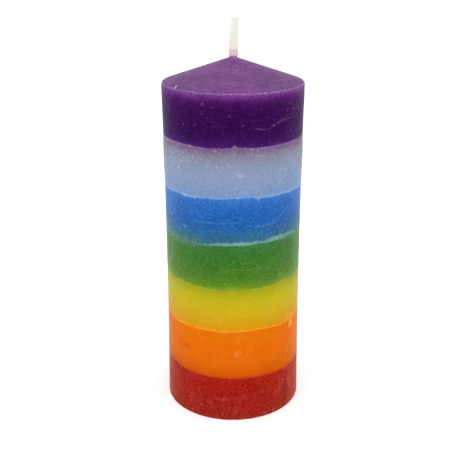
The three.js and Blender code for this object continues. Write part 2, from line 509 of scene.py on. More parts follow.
def make_wax_hairlines():
    """Faint curved scratches: thin bands where slow noise passes one of many levels, broken up by quicker
    noise."""
    look, given, out = new_group("wax_hairlines", {"Place": "Vector"}, {"Mask": "Float"})
    levels = look.math("FRACT", look.times(look.noise(given["Place"], 55, 1, 0.4), 22))
    lines = look.between(look.math("ABSOLUTE", look.math("SUBTRACT", levels, 0.5)), 0.455, 0.5)
    broken = look.between(look.noise(given["Place"], 170, 2), 0.53, 0.62)
    look.fill(out, {"Mask": look.times(lines, broken)})
    return look.tree


def make_ragged_line():
    """A line along a seam: full where the way inside its edge is more than the softness, and that way is
    made uneven by fine noise."""
    inputs = {"Place": "Vector", "Inside": "Float", "Softness": "Float", "Ragged": "Float"}
    look, given, out = new_group("ragged_line", inputs, {"Mask": "Float"})
    shift = look.math("SUBTRACT", look.noise(given["Place"], 1100, 3, 0.6), 0.5)
    inside = look.plus(given["Inside"], look.times(shift, given["Ragged"]))
    look.fill(out, {"Mask": look.between(inside, look.times(given["Softness"], -1.0), given["Softness"])})
    return look.tree


def make_wax_worn():
    """A mark broken up by the grain of the wax: it comes and goes along its length and has uneven edges."""
    look, given, out = new_group("wax_worn", {"Place": "Vector", "Mark": "Float"}, {"Mask": "Float"})
    patchy = look.between(look.noise(given["Place"], 420, 2, 0.5), 0.36, 0.62)
    rough = look.between(look.noise(given["Place"], 1700, 2, 0.7), 0.3, 0.68)
    broken = look.scaled(look.times(patchy, rough), 1.5, 0.3)
    look.fill(out, {"Mask": look.times(given["Mark"], broken, clamp=True)})
    return look.tree


WAX_SKIN = make_wax_skin()
WAX_SPECKS = make_wax_specks()
WAX_HAIRLINES = make_wax_hairlines()
WAX_WORN = make_wax_worn()
RAGGED_LINE = make_ragged_line()
BUMP_HEIGHT = 0.4 * MM
WAX_BUMP = 0.25
WAX_ROUGHNESS = 0.38
WAX_GLOSS = 0.012


def new_material(name):
    """A material, its shading and the place of each point on the piece."""
    material = bpy.data.materials.new(name)
    material.use_nodes = True
    look = Shading(material.node_tree)
    return material, look, look.add("TexCoord").outputs["Object"]


def finish(look, colour, height, bump, roughness, gloss, sheen):
    """Links colour and relief to the shader and sets its plain numbers. The sheen is its weight, its
    roughness and the red, green and blue of the veil that it lays over the wax where the wall turns
    away."""
    relief = look.add("Bump", {"Strength": bump, "Distance": BUMP_HEIGHT, "Height": height}).outputs[0]
    weight, softness, *tint = sheen
    look.fill(look.tree.nodes["Principled BSDF"], {
        "Base Color": colour, "Normal": relief, "Roughness": roughness, "Specular IOR Level": gloss,
        "Sheen Weight": weight, "Sheen Roughness": softness, "Sheen Tint": (*tint, 1.0),
    })


def colour_up_wall(look, place, stops):
    """The colour at a share of the way up the wall, blended between the stops, with a cloudy wobble."""
    wobble = look.math("SUBTRACT", look.noise(place, 180, 4, 0.6), 0.5)
    ramp = look.add("ValToRGB", {0: look.plus(look.mark("share"), look.times(wobble, 0.09))})
    ramp.color_ramp.interpolation = "B_SPLINE" if len(stops) > 6 else "LINEAR"
    while len(ramp.color_ramp.elements) < len(stops):
        ramp.color_ramp.elements.new(0.5)
    for element, (position, tone) in zip(ramp.color_ramp.elements, stops):
        element.position = position
        element.color = linear(*tone)
    return ramp.outputs[0]


def wax_material(name, stops, bloom_and_painted_sheen, mark, dark, sheen, upper=None, lower=None, tinge=None, frost_and_painted_sheen_amount=1.0,
                 streaks=0.3, speckle=0.1, mottle=0.3, dots=0.3, hairlines=0.0):
    """The wax of one pour: a colour that changes from its lower to its upper edge, a line along each edge, a
    tinge of the next pour where the two smeared, the bloom, painted sheen and mottling of the wax skin,
    specks, hairlines, and the pale and dark marks that the mesh carries. Mottling and specks are stronger
    where the wall was rubbed and where the mesh paints sheen."""
    material, look, place = new_material(name)
    colour = colour_up_wall(look, place, stops)
    for edge, line in (("upper", upper), ("lower", lower)):
        if line:
            tone, softness, ragged, strength = line
            numbers = dict(Inside=look.mark(edge + "_line"), Softness=softness, Ragged=ragged)
            covered = look.times(look.group(RAGGED_LINE, Place=place, **numbers)["Mask"], strength)
            if edge == "lower":
                covered = look.times(covered, look.mark("lower_strength"))
            colour = look.mixed(covered, colour, tone)
    if tinge:
        smeared = look.group(WAX_WORN, Place=look.stretched(place, 0.4), Mark=look.mark("tinge"))["Mask"]
        colour = look.mixed(smeared, colour, tinge)
    rubbed_and_painted_sheen = look.mark("rubbed_and_painted_sheen")
    skin = look.group(
        WAX_SKIN, Place=place, Wax=colour, Bloom=bloom_and_painted_sheen, Frost=look.times(look.mark("frost_and_painted_sheen"), frost_and_painted_sheen_amount),
        Streaks=streaks, Speckle=speckle, Mottle=look.scaled(rubbed_and_painted_sheen, 5.0 * mottle, mottle),
    )
    colour = skin["Colour"]
    dotted = look.scaled(rubbed_and_painted_sheen, 4.0 * dots, 0.6 * dots)
    for scale, size, kept in ((420.0, 0.16, 0.22), (900.0, 0.24, 0.3)):
        mask = look.group(WAX_SPECKS, Place=place, Scale=scale, Size=size, Kept=kept)["Mask"]
        colour = look.mixed(look.times(mask, dotted), colour, bloom_and_painted_sheen)
    if hairlines:
        lines = look.group(WAX_HAIRLINES, Place=place)["Mask"]
        colour = look.mixed(look.times(lines, hairlines), colour, mark)
    worn = look.group(WAX_WORN, Place=place, Mark=look.mark("pale"))["Mask"]
    colour = look.mixed(worn, look.mixed(look.mark("dark"), colour, dark), mark)
    finish(look, colour, skin["Height"], WAX_BUMP, WAX_ROUGHNESS, WAX_GLOSS, sheen)
    return material


def wick_wax_material():
    """Ivory wax over cotton: cloudy, with fine ribs from the plait, and pink up to a ragged edge at its
    foot."""
    material, look, place = new_material("wick_wax")
    clouds = look.noise(place, 700, 3)
    grain = look.noise(look.stretched(place, 0.35), 2600, 2)
    ivory = look.mixed(clouds, (255, 254, 237), (255, 255, 243))
    ivory = look.mixed(look.times(look.between(grain, 0.5, 0.75), 0.09), ivory, (236, 232, 214))
    # The top of the tip is painted darker: painted shade where it faces the lamp.
    ivory = look.mixed(look.between(look.mark("tip"), 0.0, 1.3), ivory, (222, 219, 202))
    stain = look.group(RAGGED_LINE, Place=place, Inside=look.mark("stain"), Softness=0.2, Ragged=1.3)["Mask"]
    root = look.group(RAGGED_LINE, Place=place, Inside=look.mark("root"), Softness=0.12, Ragged=0.5)["Mask"]
    pink = look.mixed(clouds, (245, 213, 209), (251, 230, 223))
    colour = look.mixed(root, look.mixed(stain, ivory, pink), (196, 158, 204))
    finish(look, colour, look.plus(clouds, look.times(grain, 0.5)), 0.2, 0.45, 0.3, (0.3, 0.6, 1, 1, 0.85))
    return material


def cotton_material():
    """Cotton strand: fine fibres as bands of a wave that follows the strand, blurred by noise."""
    material, look, place = new_material("wick_cotton")
    inputs = {"Vector": place, "Scale": 2600.0, "Distortion": 6.0, "Detail": 2.0}
    fibres = look.add("TexWave", inputs, bands_direction="DIAGONAL").outputs["Fac"]
    colour = look.mixed(fibres, (214, 205, 178), (246, 241, 226))
    finish(look, colour, fibres, 0.5, 0.85, 0.2, (0.3, 0.4, 1, 1, 1))
    return material


def sliver_material():
    """Scraped wax: pale pink and cloudy, with a fine grain."""
    material, look, place = new_material("scraped_wax")
    clouds = look.noise(place, 1500, 3)
    colour = look.mixed(clouds, (196, 156, 196), (232, 208, 226))
    finish(look, colour, clouds, 0.2, 0.5, 0.1, (0.1, 0.5, 1, 1, 1))
    return material


# The waxes: colours from the lower edge of each pour to the upper one, in screen values, and each edge line's
# colour, softness, raggedness and strength.
WAXES = {
    "red_wax": dict(
        stops=[(0.0, (161, 36, 26)), (0.3, (165, 25, 17)), (0.6, (165, 19, 12)), (0.9, (173, 22, 9)),
               (1.0, (177, 29, 9))],
        bloom_and_painted_sheen=(184, 112, 100), mark=(226, 150, 120), dark=(100, 12, 12), sheen=(0.2, 0.4, 1.0, 0.75, 0.4),
        upper=((196, 62, 26), 0.25, 0.9, 0.5), tinge=(218, 88, 76), frost_and_painted_sheen_amount=0.4, streaks=0.6, speckle=0.11,
        mottle=0.6,
    ),
    "orange_wax": dict(
        stops=[(0.0, (212, 79, 1)), (0.12, (224, 96, 0)), (0.35, (233, 110, 6)), (0.6, (239, 111, 0)),
               (1.0, (236, 118, 0))],
        bloom_and_painted_sheen=(180, 156, 100), mark=(250, 175, 74), dark=(216, 76, 0), sheen=(0.52, 0.3, 0.05, 0.41, 0.26),
        upper=((240, 136, 20), 0.2, 0.4, 0.5), lower=((196, 72, 16), 0.2, 0.9, 0.4), frost_and_painted_sheen_amount=0.35,
        streaks=0.5, speckle=0.02, mottle=0.18, dots=0.16,
    ),
    "yellow_wax": dict(
        stops=[(0.0, (235, 143, 2)), (0.12, (222, 156, 4)), (0.35, (215, 175, 19)), (0.6, (206, 184, 23)),
               (0.82, (193, 181, 17)), (0.96, (161, 165, 21)), (1.0, (149, 160, 23))],
        bloom_and_painted_sheen=(196, 192, 130), mark=(236, 214, 76), dark=(150, 130, 20), sheen=(0.33, 0.45, 0.12, 0.4, 0.34),
        upper=((186, 190, 44), 0.12, 0.3, 0.6), lower=((246, 160, 26), 0.3, 0.25, 1.0), frost_and_painted_sheen_amount=0.35,
        streaks=0.5, speckle=0.025, mottle=0.13,
    ),
    "green_wax": dict(
        stops=[(0.0, (136, 156, 9)), (0.04, (114, 147, 13)), (0.1, (93, 136, 14)), (0.2, (77, 127, 23)),
               (0.5, (53, 116, 15)), (0.75, (48, 116, 26)), (0.9, (48, 116, 46)), (1.0, (55, 119, 65))],
        bloom_and_painted_sheen=(146, 170, 134), mark=(170, 190, 110), dark=(36, 84, 26), sheen=(0.45, 0.55, 0.48, 0.48, 0.4),
        tinge=(84, 130, 112), frost_and_painted_sheen_amount=0.3, streaks=0.5, speckle=0.06, mottle=0.46,
    ),
    "blue_wax": dict(
        stops=[(0.0, (54, 115, 119)), (0.1, (40, 103, 134)), (0.25, (36, 102, 156)), (0.45, (0, 92, 179)),
               (0.75, (25, 100, 187)), (0.93, (48, 114, 197)), (1.0, (72, 128, 203))],
        bloom_and_painted_sheen=(136, 168, 208), mark=(116, 174, 248), dark=(24, 66, 130), sheen=(0.42, 0.55, 0.4, 0.45, 0.4),
        upper=((136, 170, 218), 0.4, 0.8, 0.95), lower=((122, 166, 158), 0.6, 0.7, 1.0), tinge=(80, 130, 118),
        frost_and_painted_sheen_amount=0.25, streaks=0.6, speckle=0.07, mottle=0.5,
    ),
    "pale_blue_wax": dict(
        stops=[(0.0, (122, 155, 208)), (0.06, (125, 151, 196)), (0.2, (134, 158, 199)),
               (0.5, (143, 157, 188)), (0.68, (139, 148, 175)), (0.82, (140, 131, 156)),
               (0.91, (123, 103, 137)), (1.0, (119, 80, 131))],
        bloom_and_painted_sheen=(172, 184, 198), mark=(195, 212, 228), dark=(104, 92, 124), sheen=(0.25, 0.5, 0.44, 0.4, 0.32),
        upper=((148, 96, 152), 0.14, 0.25, 0.4), frost_and_painted_sheen_amount=0.4, streaks=0.4, speckle=0.1, mottle=0.22,
    ),
    "violet_wax": dict(
        # Up the wall from share 0.38 to the shoulder at 0.5 the violet lightens: a painted glow of light
        # through the wax under the rim. The shoulder and cone, from 0.5 on, are a lighter lilac than the
        # wall: partly frosted wax and partly painted sheen of the light from above.
        stops=[(0.0, (69, 26, 103)), (0.05, (56, 13, 86)), (0.15, (45, 0, 72)), (0.38, (55, 0, 75)),
               (0.45, (76, 13, 96)), (0.48, (101, 41, 123)), (0.5, (117, 58, 138)), (0.53, (118, 68, 132)),
               (0.57, (113, 66, 124)), (1.0, (112, 66, 123))],
        bloom_and_painted_sheen=(128, 106, 136), mark=(200, 138, 220), dark=(30, 6, 44), sheen=(0.08, 0.5, 0.85, 0.5, 1.0),
        # The upper line is a painted highlight along the rim's ridge.
        upper=((172, 124, 182), 0.22, 0.5, 0.5), lower=((124, 64, 138), 0.14, 0.3, 0.4), frost_and_painted_sheen_amount=0.25,
        streaks=0.4, speckle=0.03, mottle=0.64, dots=0.2, hairlines=0.03,
    ),
    "top_up_wax": dict(
        stops=[(0.0, (150, 34, 26)), (1.0, (158, 32, 24))], bloom_and_painted_sheen=(190, 100, 88), mark=(200, 120, 105),
        dark=(104, 14, 14), sheen=(0.4, 0.4, 0.95, 0.8, 0.6), streaks=0.0, mottle=0.4,
    ),
}


# Marks on the walls. The rows of a table are as strokes, specks, patches or scatters says.

FROST_AND_PAINTED_SHEEN_BANDS = [  # where hands and packing rubbed the wall, and at -72 and 70, the left and right edges seen from the front, painted sheen as well: turn, half width in degrees and strength
    (-72, 16, 1.0), (70, 13, 0.6), (118, 10, 0.4), (165, 22, 0.7), (-140, 14, 0.6),
]


def frost_and_painted_sheen_round(rise, seed):
    """How strongly the bloom and the painted sheen lie at each point: a low level, raised by bells round the
    places in the table, with a slow unevenness all round."""
    rubbed_and_painted_sheen = sum(strength * bell(off_turn(at) / half_width) for at, half_width, strength in FROST_AND_PAINTED_SHEEN_BANDS)
    return np.clip(0.05 + 0.25 * rubbed_and_painted_sheen + (0.02 + 0.05 * rubbed_and_painted_sheen) * swell(rise, seed, 1.0), 0.01, 0.7)


def edge_line(width, seed, distance, uneven=0.35):
    """How far a point is inside a line along an edge: the line's width, uneven round the candle, less the
    distance from the edge."""
    return width * (1 + waver(seed, uneven, 5, 60)) - distance


def wall_marks(rise, low, high, seed, upper_width, lower_width, scattered):
    """The numbers that every pour's wall carries: its share of the way up, how far inside each edge line a
    point is, its frost and painted sheen, and its drawn specks."""
    frost_and_painted_sheen = frost_and_painted_sheen_round(rise, seed + 3)
    return dict(
        share=np.clip((rise - low) / (high - low), 0, 1),
        upper_line=edge_line(upper_width, seed + 1, high - rise),
        lower_line=edge_line(lower_width, seed + 2, rise - low),
        lower_strength=np.ones(rise.shape),
        frost_and_painted_sheen=frost_and_painted_sheen,
        # Specks and mottling also grow towards the left and right sides seen from the front: partly rubbed
        # wax, partly painted speckled sheen.
        rubbed_and_painted_sheen=0.08 * smooth(FLANK, 0.4, 0.8) + frost_and_painted_sheen - 0.05,
        pale=0.4 * scatter(rise, seed + 4, scattered, np.mean(low), np.mean(high)),
        dark=np.zeros(rise.shape),
        relief=swell(rise, 5, 0.02) - groove(rise - low) - groove(high - rise),
    )


ORANGE_DRIP = [(59.1, 45.4), (59.0, 42.8), (59.4, 40.2), (59.1, 38.9)]
ORANGE_FLECKS = [(4.1, 38.2, 0.5, 0.5, 0.4), (35.0, 37.9, 1.3, 1.0, 0.2)]
ORANGE_UPRIGHTS = [
    (1.0, 0.3, [(-2.1, 32.6), (-2.1, 30.4)]),
    (0.8, 0.3, [(62.0, 40.0), (62.4, 35.0), (61.6, 30.0)]),
]


def orange_marks(rise, low, high):
    """Orange pour: a pale drip under the upper edge, a pale blob, a dark nick, flecks and dark uprights."""
    made = wall_marks(rise, low, high, 200, 0.12, 0.35, 24)
    drip = stroke(rise, 1.15, ORANGE_DRIP) * smooth(rise, 38.1, 39.4)
    blob = spot(rise, 4.2, 32.3, 1.7, 1.8, 3)
    nick_tail = 0.8 * stroke(rise, 0.45, [(-42.6, 32.8), (-39.0, 32.2)])
    nick = np.maximum(spot(rise, -42.6, 33.0, 1.5, 0.65, 2.5), nick_tail)
    shade = np.maximum(strokes(rise, ORANGE_UPRIGHTS), spot(rise, 54.6, 42.4, 0.5, 0.8))
    fleck = spot(rise, 64.1, 27.2, 0.4)
    chosen = (2.0 * drip, 0.3 * blob, patches(rise, ORANGE_FLECKS), 0.9 * fleck)
    made["pale"] = strongest((made["pale"], *chosen))
    made["dark"] = np.maximum(0.85 * nick, 0.3 * shade)
    made["relief"] += 0.16 * drip + 0.06 * blob - 0.1 * nick + 0.08 * fleck
    return made


def yellow_marks(rise, low, high):
    """Yellow pour: nearly clean, with a bright line of orange wax along its lower edge, the top of a drip
    in it, and a light line along its upper edge that is lost at the front."""
    made = wall_marks(rise, low, high, 300, 0.3, 0.95, 14)
    ragged = edge_line(0.85, 302, rise - low, 0.16) + waver(303, 0.13, 60, 260)
    made["lower_line"] = np.maximum(ragged, 1.6 * stroke(rise, 0.8, [(59.1, 45.6), (59.1, 43.0)]) - 0.8)
    made["upper_line"] -= 0.5 * bell(off_turn(0) / 16)
    return made


# Where green and blue smeared into each other, left of the front.
SMEARED = smooth(off_turn(0), -88, -60) * (1 - smooth(off_turn(0), -34, -22))
GREEN_SCRATCHES = [
    (0.2, 0.24, [(7.4, 73.8), (16.3, 74.1)]),
    (0.18, 0.26, [(-8.7, 71.0), (2.0, 71.6), (14.3, 71.2), (25.9, 71.1), (30.6, 70.6)]),
    (0.12, 0.3, [(-9.3, 72.0), (-9.3, 69.3)]),
    (0.12, 0.25, [(41.0, 68.5), (41.4, 65.5)]),
    (0.4, 0.26, [(16.7, 74.7), (17.8, 75.6), (19.3, 75.9)]),
]
GREEN_SPECKS = [(-48.3, 71.3, 0.35), (0.2, 74.9, 0.35), (41.2, 66.7, 0.35)]


def green_marks(rise, low, high):
    """Green pour: faint yellowish scratches across it, of which the first two are cut into the wax."""
    made = wall_marks(rise, low, high, 400, 0.4, 0.3, 44)
    made["pale"] = strongest((made["pale"], strokes(rise, GREEN_SCRATCHES), 0.3 * specks(rise, GREEN_SPECKS)))
    made["relief"] += 0.03 * sum(stroke(rise, *scratch[1:]) for scratch in GREEN_SCRATCHES[:2])
    made["tinge"] = 0.75 * SMEARED * bell((high - rise) / 2.0)
    return made


SMEAR = np.array([  # the smear along the blue pour's lower edge: turn, width and strength
    (-180, 0.2, 1.0), (-150, 1.2, 0.9), (-120, 0.2, 0.9), (-70, -0.4, 0.5), (-42, -0.2, 0.3),
    (-33, 0.3, 0.45), (-26, 0.5, 0.5), (-20, 0.8, 0.65), (-14, 1.0, 0.9), (-6, 1.25, 1.0),
    (8, 1.5, 1.0), (17, 1.15, 1.0), (21, 0.8, 0.62), (27, 1.5, 0.7), (34, 2.0, 0.9), (41, 2.0, 0.95),
    (47, 2.0, 0.66), (55, 1.5, 0.55), (65, 0.8, 0.3), (78, 0.4, 0.3), (95, 0.5, 0.8), (130, 1.4, 1.0),
    (150, 0.6, 1.0), (180, 0.2, 1.0),
]).T
BLUE_SCRATCH = [
    (-35.2, 90.4), (-31.5, 91.4), (-22.4, 91.4), (-16.0, 91.6), (-5.9, 91.6), (-2.0, 92.2), (4.6, 92.0),
    (7.3, 91.2),
]
BLUE_STROKES = [
    (0.22, 0.28, [(11.5, 90.7), (18.1, 90.1), (25.3, 89.9), (33.2, 90.7), (39.1, 91.9), (43.7, 93.8),
                  (49.8, 95.2), (51.9, 97.1)]),
    (0.22, 0.24, [(18.1, 89.7), (26.9, 89.5), (36.5, 90.2)]),
    (0.25, 0.2, [(-34.9, 95.1), (-35.2, 90.4)]),
    (0.2, 0.3, [(-55.2, 98.0), (-54.5, 88.0)]),
    (0.2, 0.25, [(-49.0, 90.5), (-48.5, 84.0)]),
]
BLUE_FLECKS = [
    (-63.9, 93.1, 0.6, 0.8, 0.6), (-60.1, 91.4, 0.6, 0.8, 0.6), (-43.0, 87.5, 0.6, 0.8, 0.6),
    (20.4, 101.0, 0.6, 0.5, 0.5),
]


def blue_marks(rise, low, high):
    """Blue pour: a wavy whitish scratch across it, uprights and white frost near the left side, and a smear
    of turquoise along its lower edge, as wide and as strong as the table says at each turn."""
    made = wall_marks(rise, low, high, 500, 0.5, 0.3, 60)
    width, strength = (np.interp(off_turn(0), SMEAR[0], values) for values in SMEAR[1:])
    made["lower_line"] = width + waver(77, 0.16, 20, 150) - (rise - low)
    made["lower_strength"] *= strength
    scratch = stroke(rise, 0.25, BLUE_SCRATCH) * (0.6 + 0.4 * np.sin(9 * TURN + 1.0) * np.sin(23 * TURN))
    powder = scatter(rise, 507, 60, 84.0, 98.0, -72.0, -44.0)
    chosen = (0.42 * scratch, strokes(rise, BLUE_STROKES), patches(rise, BLUE_FLECKS))
    made["pale"] = strongest((made["pale"], *chosen, 0.5 * powder))
    made["relief"] += 0.03 * scratch
    made["tinge"] = 0.9 * SMEARED * bell((rise - low) / 2.6)
    made["upper_line"] += 0.35 * smooth(FLANK, 0.25, 0.6)
    return made


PALE_BULGE = 0.2  # how far the pale pour stands proud at its middle
PALE_STROKES = [
    (0.3, 0.22, [(-3.4, 116.4), (-0.4, 114.8)]),
    (0.3, 0.22, [(-4.4, 116.0), (0.5, 114.0), (4.2, 111.9)]),
    (0.3, 0.22, [(17.6, 111.9), (20.4, 111.0)]),
    (0.3, 0.22, [(-13.3, 109.0), (-11.7, 107.6)]),
    (0.3, 0.22, [(38.0, 106.5), (41.0, 108.5)]),
]
PALE_SPECKS = [
    (1.9, 106.4, 0.4), (-59.0, 116.3, 0.4), (-36.8, 116.8, 0.4), (-30.2, 121.0, 0.4), (-23.6, 119.5, 0.4),
    (-15.8, 119.4, 0.4), (-12.9, 115.1, 0.4), (57.2, 114.4, 0.4),
]
PALE_POWDER = [
    (607, 150, 110.0, 124.0, -80.0, -46.0), (608, 30, 119.0, 123.0, 9.0, 26.0),
    (609, 40, 112.0, 121.0, 40.0, 70.0), (610, 34, 115.0, 123.0, -46.0, -8.0),
]


def pale_blue_marks(rise, low, high):
    """Pale pour: a short smear, faint strokes and white specks, on a wall that bulges as a sine of its
    share."""
    made = wall_marks(rise, low, high, 600, 0.5, 0.5, 120)
    smear = spot(rise, 6.7, 111.7, 1.5, 0.5, 3)
    flecks = specks(rise, PALE_SPECKS)
    powder = scatters(rise, PALE_POWDER)
    chosen = (0.5 * smear, strokes(rise, PALE_STROKES), 0.6 * flecks)
    made["pale"] = strongest((made["pale"], *chosen, 0.9 * powder))
    made["relief"] += 0.06 * flecks + 0.05 * smear + PALE_BULGE * np.sin(np.pi * made["share"])
    return made


# Pieces

def pour_piece(colour, above, marks):
    """A pour between two others: the lower face from the wick out, the wall up and the upper face back
    in."""
    node = colour + "_layer"
    low, high = EDGES[node], EDGES[above]
    rise = wall_rings(low, high)
    made = marks(rise, low, high)
    radius = wall_radius(rise) + made.pop("relief")
    low_face = face_between(radius[0], rise[0], lowest(node), FACE_SHARES)
    high_face = face_between(radius[-1], rise[-1], high.mean(), FACE_SHARES[::-1])
    made = spread(made, len(FACE_SHARES), len(FACE_SHARES))
    piece = ring_piece(colour + "_pour", (low_face, (radius, rise), high_face), made)
    settle(piece, node, WAX[colour + "_wax"])


VIOLET_SCRATCHES = [
    (0.55, 0.2, [(17.2, 130.6), (23.9, 129.8), (29.7, 129.9)]),
    (1.0, 0.2, [(29.7, 130.4), (33.0, 131.0)]),
    (0.5, 0.2, [(31.2, 131.0), (40.9, 132.4), (55.2, 132.9)]),
    (0.4, 0.2, [(34.2, 131.9), (42.2, 133.2), (52.7, 134.5)]),
    (0.08, 0.2, [(-27.8, 134.1), (-21.0, 134.8), (-13.2, 134.3)]),
    (0.1, 0.2, [(-25.3, 132.2), (-17.1, 133.4), (-7.9, 132.8)]),
    (0.09, 0.2, [(-21.2, 130.8), (-13.2, 131.5), (-3.4, 131.5)]),
    (0.08, 0.2, [(-20.0, 133.6), (-12.0, 132.4), (-5.0, 134.2)]),
    (0.08, 0.2, [(5.6, 134.8), (11.6, 133.9), (16.3, 132.2)]),
    (0.7, 0.2, [(160.0, 128.0), (172.0, 130.5), (186.0, 131.0)]),
    (0.6, 0.2, [(-120.0, 134.0), (-110.0, 131.5), (-98.0, 130.6)]),
]
VIOLET_SPECKS = [
    (-23.9, 139.9, 0.5), (-24.0, 136.2, 0.32), (-46.7, 133.7, 0.28), (-3.1, 135.7, 0.36), (-41.5, 130.9, 0.3),
    (-30.8, 131.3, 0.32), (7.3, 131.8, 0.28), (54.3, 136.1, 0.34), (46.5, 136.0, 0.28), (63.3, 135.5, 0.34),
    (-71.8, 129.5, 0.3), (52.5, 127.4, 0.28),
]
VIOLET_POWDER = [(707, 110, 124.0, 142.0, -82.0, -56.0), (708, 80, 126.0, 141.0, 46.0, 80.0)]
RIM_CRUMBS = [  # turn and size
    (-50.1, 0.7), (-30.8, 0.7), (-6.9, 0.5), (25.0, 0.7), (8.5, 0.4), (98.0, 0.5), (143.0, 0.6),
    (-128.0, 0.5), (-165.0, 0.6),
]
CONE_SPOTS = [  # turn, radius and size
    (-17.4, 24.8, 0.6), (-44.1, 24.7, 0.7), (22.3, 26.3, 0.6), (17.9, 7.2, 0.5), (-31.0, 27.2, 0.4),
    (120.0, 22.0, 0.6), (-140.0, 17.0, 0.6),
]
STRAY_CRUMB = (-51.2, 29.3, 0.5)
RIDGE_UP = 1.05  # from where the shoulder starts to its scuffed ridge, along the arc
CONE_TILT_REACH = 2.2


def rim_crumbs(from_rim):
    """Crumbs along the ridge of the rim, listed and drawn ones: each is a bell along the rim times one
    across."""
    drawn = np.random.default_rng(71).uniform((-180, 0.5, 0.02), (180, 2.5, 0.12), (90, 3))
    rows = [(at, size, 0.45, 0.35) for at, size in RIM_CRUMBS] + [(*row, 0.3) for row in drawn]
    return strongest(
        strength * bell(along_wall(at) / size) * bell(from_rim / reach) for at, size, strength, reach in rows
    )


def cone_spot(radius, at, out, size):
    """1 in the middle of a spot on the cone, falling off as a bell with the distance seen from above."""
    aside = radius * np.sin(TURN) - out * math.sin(math.radians(at))
    ahead = radius * np.cos(TURN) - out * math.cos(math.radians(at))
    return bell(np.hypot(aside, ahead) / size)


def brushed_cone(radius):
    """Faint brush strokes round the cone: drawn arcs that fall off as bells with the way along and across
    them."""
    drawn = np.random.default_rng(72).uniform((-180, 4.0, 1.0, 0.03), (180, 28.0, 4.5, 0.11), (160, 4))
    return strongest(
        strength * bell(radius * np.radians(off_turn(at)) / half_length) * bell((radius - out) / 0.7)
        for at, out, half_length, strength in drawn
    )


def violet_piece():
    """The tip pour: the lower face, the band of wall, a round shoulder, the cone and the hollow collar at
    the wick. The shoulder is a fillet arc; the cone falls in a straight line; the collar's rise falls with
    the square of the way."""
    low = EDGES["violet_tip_layer"]
    wall = wall_rings(low, SHOULDER_START)
    bend = np.linspace(0, SHOULDER_TURN, 9)[1:]
    shoulder_radius = rings(SHOULDER_RADIUS - SHOULDER_ROUND * (1 - np.cos(bend)))
    shoulder_rise = rings(SHOULDER_START + SHOULDER_ROUND * np.sin(bend))
    foot = BORE_RADIUS + COLLAR_WIDTH
    cone = rings(np.linspace(shoulder_radius[-1, 0], foot, int((SHOULDER_RADIUS - foot) / CONE_STEP))[1:])
    climb = rings(np.linspace(1, 0, 7)[1:])
    collar_radius = BORE_RADIUS + COLLAR_WIDTH * climb
    collar_rise = cone_height(collar_radius) + (COLLAR_TOP - CONE_TOP) * (1 - climb) ** 2
    radius = np.concatenate((wall_radius(wall), shoulder_radius, cone, collar_radius))
    rise = np.concatenate((wall, shoulder_rise, cone_height(cone), collar_rise))
    rows = len(wall)
    on_cone = (np.arange(len(rise)) >= rows)[:, None]
    on_wall = ~on_cone
    steps = np.hypot(np.diff(radius[rows - 1:, 0]), np.diff(rise[rows - 1:, 0]))
    way = np.concatenate((np.zeros(rows), np.cumsum(steps)))[:, None]
    from_rim = np.where(on_cone, way, rise - SHOULDER_START) - RIDGE_UP
    sideways = smooth(np.abs(radius * np.sin(TURN)), 4.0, 24.0)
    crumbs = rim_crumbs(from_rim)
    marked = strongest(cone_spot(radius, *place) * on_cone for place in CONE_SPOTS)
    stray = cone_spot(radius, *STRAY_CRUMB) * on_cone
    scratches = strokes(rise, VIOLET_SCRATCHES)
    flecks = specks(rise, VIOLET_SPECKS)
    powder = scatters(rise, VIOLET_POWDER)
    made = wall_marks(rise, low, WALL_TOP, 700, 0.0, 0.32, 90)
    made["share"] = np.where(on_cone, 0.5 + 0.5 * way / way[-1], 0.5 * (rise - low) / (SHOULDER_START - low))
    # The line along the rim is a raised, scuffed ridge a little way up the shoulder, and its pale colour is a
    # painted highlight on that ridge.
    made["upper_line"] = 0.24 * (1 + waver(31, 0.4, 8, 110)) - np.abs(from_rim + waver(32, 0.08, 5, 50))
    made["lower_line"] = np.where(on_cone, -1.0, made["lower_line"])
    # Towards the cone's left and right, seen from the front, frost grows together with painted sheen, a
    # painted shade darkens it from a little above the ridge, and its specks grow.
    cone_frost_and_painted_sheen = 0.5 + 0.7 * sideways + 0.2 * swell(radius, 9, 1.0)
    made["frost_and_painted_sheen"] = np.where(on_cone, cone_frost_and_painted_sheen, 0.75 * made["frost_and_painted_sheen"])
    made["dark"] = np.where(on_cone & (way > RIDGE_UP + 0.6), 0.25 * sideways, made["dark"])
    made["rubbed_and_painted_sheen"] = np.where(on_cone, 0.02 + 0.05 * sideways, 0.7 * made["rubbed_and_painted_sheen"])
    wall_pale = strongest((0.3 * made["pale"], 0.3 * scratches, 0.28 * flecks, 0.26 * powder)) * on_wall
    collar_pale = 0.45 * bell((radius - BORE_RADIUS) / 1.3) * on_cone
    brushed = brushed_cone(radius) * on_cone
    made["pale"] = strongest((wall_pale, crumbs, 0.15 * marked, 0.3 * stray, collar_pale, brushed))
    lift = (made.pop("relief") + 0.04 * scratches) * on_wall + 0.05 * bell(from_rim / 0.35) + 0.18 * crumbs
    tilt = np.where(on_cone, np.clip(way / CONE_TILT_REACH, 0, 1), 0) * SHOULDER_TURN
    raised = 0.22 * stray + 0.05 * marked
    radius = radius + lift * np.cos(tilt) + raised * math.sin(CONE_SLOPE)
    rise = rise + lift * np.sin(tilt) + raised * math.cos(CONE_SLOPE)
    low_face = face_between(radius[0], rise[0], lowest("violet_tip_layer"), FACE_SHARES)
    piece = ring_piece("violet_pour", (low_face, (radius, rise)), spread(made, len(FACE_SHARES), 0))
    settle(piece, "violet_tip_layer", WAX["violet_wax"])


SLIVER_WIDTH = 0.3
SLIVER_HEIGHT = 1.7
SLIVER_LEAN = 0.8
SLIVER_ROOT = 0.35  # how far its foot is in the wax


